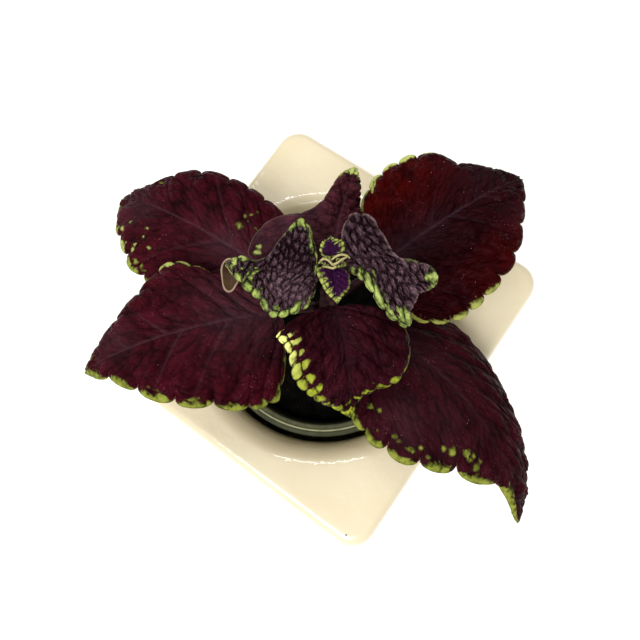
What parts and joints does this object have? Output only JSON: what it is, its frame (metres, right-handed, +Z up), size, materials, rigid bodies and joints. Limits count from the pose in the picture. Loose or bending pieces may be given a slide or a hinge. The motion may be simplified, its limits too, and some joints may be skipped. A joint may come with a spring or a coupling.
{
  "type": "potted coleus",
  "caption": "Young dark-leaved coleus with scalloped, lime-edged leaves, in a nursery pot stood inside a square glazed planter with a round neck.",
  "frame": {"origin": "centre of the planter's flat base, on the surface that it stands on", "axes": "+Z up; X and Y along the planter's square sides, so the long leaves of the lowest pair reach out along -X and +X"},
  "size_m": [0.1647, 0.1199, 0.1401],
  "materials": {
    "planter_glaze": "gloss",
    "nursery_plastic": "satin",
    "potting_mix": "matte",
    "stem_skin": "satin",
    "mature_leaf": "satin",
    "young_leaf": "matte",
    "newest_leaf": "matte"
  },
  "bodies": {
    "root": {"ceramic_planter": "planter_glaze", "nursery_pot": "nursery_plastic", "potting_soil": "potting_mix", "stem": "stem_skin", "leaf_pair1_left": "mature_leaf", "leaf_pair1_right": "mature_leaf", "leaf_pair2_front": "mature_leaf", "leaf_pair2_back": "mature_leaf", "leaf_pair3_front": "mature_leaf", "leaf_pair3_back": "mature_leaf", "leaf_pair4_left": "young_leaf", "leaf_pair4_right": "young_leaf", "growing_tip": "newest_leaf"}
  },
  "joints": []
}
